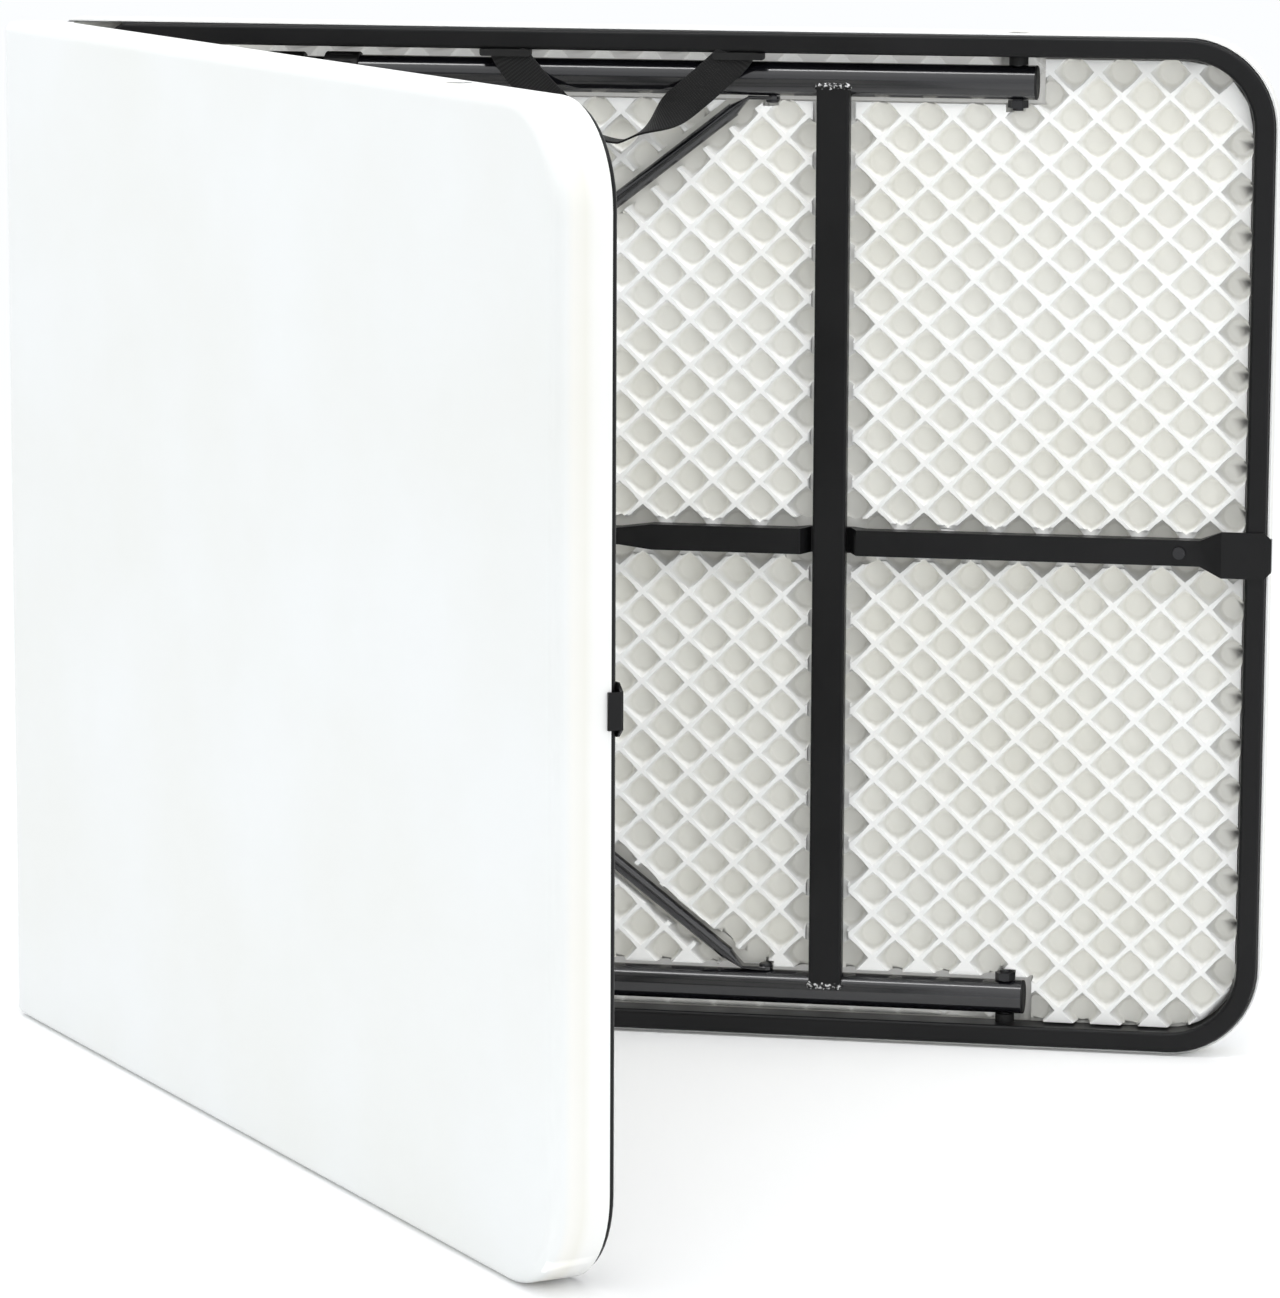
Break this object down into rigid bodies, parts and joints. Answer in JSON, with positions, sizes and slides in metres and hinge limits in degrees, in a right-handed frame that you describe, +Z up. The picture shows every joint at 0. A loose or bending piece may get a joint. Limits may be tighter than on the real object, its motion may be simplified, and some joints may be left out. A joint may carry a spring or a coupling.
{
  "type": "folding table",
  "caption": "Folding table whose hollow moulded top splits in two halves on hinged steel rails, with fold-out telescopic legs, braces and a webbing carry strap.",
  "frame": {"origin": "middle of the standing footprint, on the floor", "axes": "+Z up along the fold hinge, +X along the far half from the hinge to its outer edge, +Y the far half's working face"},
  "size_m": [0.9358, 0.7828, 0.75],
  "materials": {
    "white_plastic": "fine satin moulded texture",
    "black_steel": "gloss black powder coat",
    "dark_steel": "blackened fasteners",
    "grey_steel": "black coat, rubbed where it slides",
    "black_plastic": "moulded black plastic",
    "black_webbing": "woven webbing"
  },
  "bodies": {
    "far_half": {"far_top_panel": "white_plastic", "far_rail": "black_steel", "far_centre_bar": "black_steel", "far_bar_screws": "dark_steel", "far_pivot_bolts": "dark_steel", "far_pivot_spacers": "black_plastic", "hinge_pins": "dark_steel", "hinge_washers": "black_plastic", "strap_keepers": "black_plastic"},
    "far_leg": {"far_leg_tube_lower": "black_steel", "far_leg_tube_upper": "black_steel", "far_leg_crossbar": "black_steel", "far_leg_end_plugs": "black_plastic", "far_leg_collars": "black_plastic", "far_brace_rivets": "dark_steel"},
    "far_braces": {"far_brace_lower": "black_steel", "far_brace_upper": "black_steel"},
    "far_slider": {"far_brace_slider": "black_steel", "far_slider_rivets": "dark_steel"},
    "far_leg_foot_lower": {"far_leg_extension_lower": "grey_steel", "far_foot_cap_lower": "black_plastic"},
    "far_leg_foot_upper": {"far_leg_extension_upper": "grey_steel", "far_foot_cap_upper": "black_plastic"},
    "near_half": {"near_top_panel": "white_plastic", "near_rail": "black_steel", "near_centre_bar": "black_steel", "near_bar_screws": "dark_steel", "near_pivot_bolts": "dark_steel", "near_pivot_spacers": "black_plastic"},
    "near_leg": {"near_leg_tube_lower": "black_steel", "near_leg_tube_upper": "black_steel", "near_leg_crossbar": "black_steel", "near_leg_end_plugs": "black_plastic", "near_leg_collars": "black_plastic", "near_brace_rivets": "dark_steel"},
    "near_braces": {"near_brace_lower": "black_steel", "near_brace_upper": "black_steel"},
    "near_slider": {"near_brace_slider": "black_steel", "near_slider_rivets": "dark_steel"},
    "near_leg_foot_lower": {"near_leg_extension_lower": "grey_steel", "near_foot_cap_lower": "black_plastic"},
    "near_leg_foot_upper": {"near_leg_extension_upper": "grey_steel", "near_foot_cap_upper": "black_plastic"},
    "carry_strap": {"carry_strap": "black_webbing"}
  },
  "joints": [
    {"name": "table_fold", "type": "hinge", "parent": "far_half", "child": "near_half", "pos_m": [-0.43431, 0.34386, 0.375], "axis": [0, 0, -1], "range_deg": [-52, 128]},
    {"name": "far_leg_swing", "type": "hinge", "parent": "far_half", "child": "far_leg", "pos_m": [0.27669, 0.36286, 0.375], "axis": [0, 0, 1], "range_deg": [0, 90]},
    {"name": "far_brace_swing", "type": "hinge", "parent": "far_leg", "child": "far_braces", "pos_m": [0.09669, 0.36286, 0.375], "axis": [0, 0, 1], "range_deg": [-114.88, 0.5]},
    {"name": "far_slider_swing", "type": "hinge", "parent": "far_braces", "child": "far_slider", "pos_m": [-0.33931, 0.36286, 0.375], "axis": [0, 0, 1], "range_deg": [-0.5, 24.88]},
    {"name": "far_foot_slide_lower", "type": "slide", "parent": "far_leg", "child": "far_leg_foot_lower", "axis": [-1, 0, 0], "range_m": [0, 0.135]},
    {"name": "far_foot_slide_upper", "type": "slide", "parent": "far_leg", "child": "far_leg_foot_upper", "axis": [-1, 0, 0], "range_m": [0, 0.135]},
    {"name": "near_leg_swing", "type": "hinge", "parent": "near_half", "child": "near_leg", "pos_m": [-0.01154, -0.22811, 0.375], "axis": [0, 0, -1], "range_deg": [0, 90]},
    {"name": "near_brace_swing", "type": "hinge", "parent": "near_leg", "child": "near_braces", "pos_m": [-0.12236, -0.08627, 0.375], "axis": [0, 0, -1], "range_deg": [-114.88, 0.5]},
    {"name": "near_slider_swing", "type": "hinge", "parent": "near_braces", "child": "near_slider", "pos_m": [-0.39079, 0.2573, 0.375], "axis": [0, 0, -1], "range_deg": [-0.5, 24.88]},
    {"name": "near_foot_slide_lower", "type": "slide", "parent": "near_leg", "child": "near_leg_foot_lower", "axis": [-0.6157, 0.788, 0], "range_m": [0, 0.135]},
    {"name": "near_foot_slide_upper", "type": "slide", "parent": "near_leg", "child": "near_leg_foot_upper", "axis": [-0.6157, 0.788, 0], "range_m": [0, 0.135]},
    {"name": "strap_swing", "type": "hinge", "parent": "far_half", "child": "carry_strap", "pos_m": [-0.01281, 0.34736, 0.733], "axis": [-1, 0, 0], "range_deg": [0, 175], "deforming": ["carry_strap"]}
  ],
  "couplings": [
    {"joint": "far_brace_swing", "follows": "far_leg_swing", "ratio": -1.2709},
    {"joint": "far_slider_swing", "follows": "far_leg_swing", "ratio": 0.27093},
    {"joint": "near_brace_swing", "follows": "near_leg_swing", "ratio": -1.2709},
    {"joint": "near_slider_swing", "follows": "near_leg_swing", "ratio": 0.27093}
  ]
}
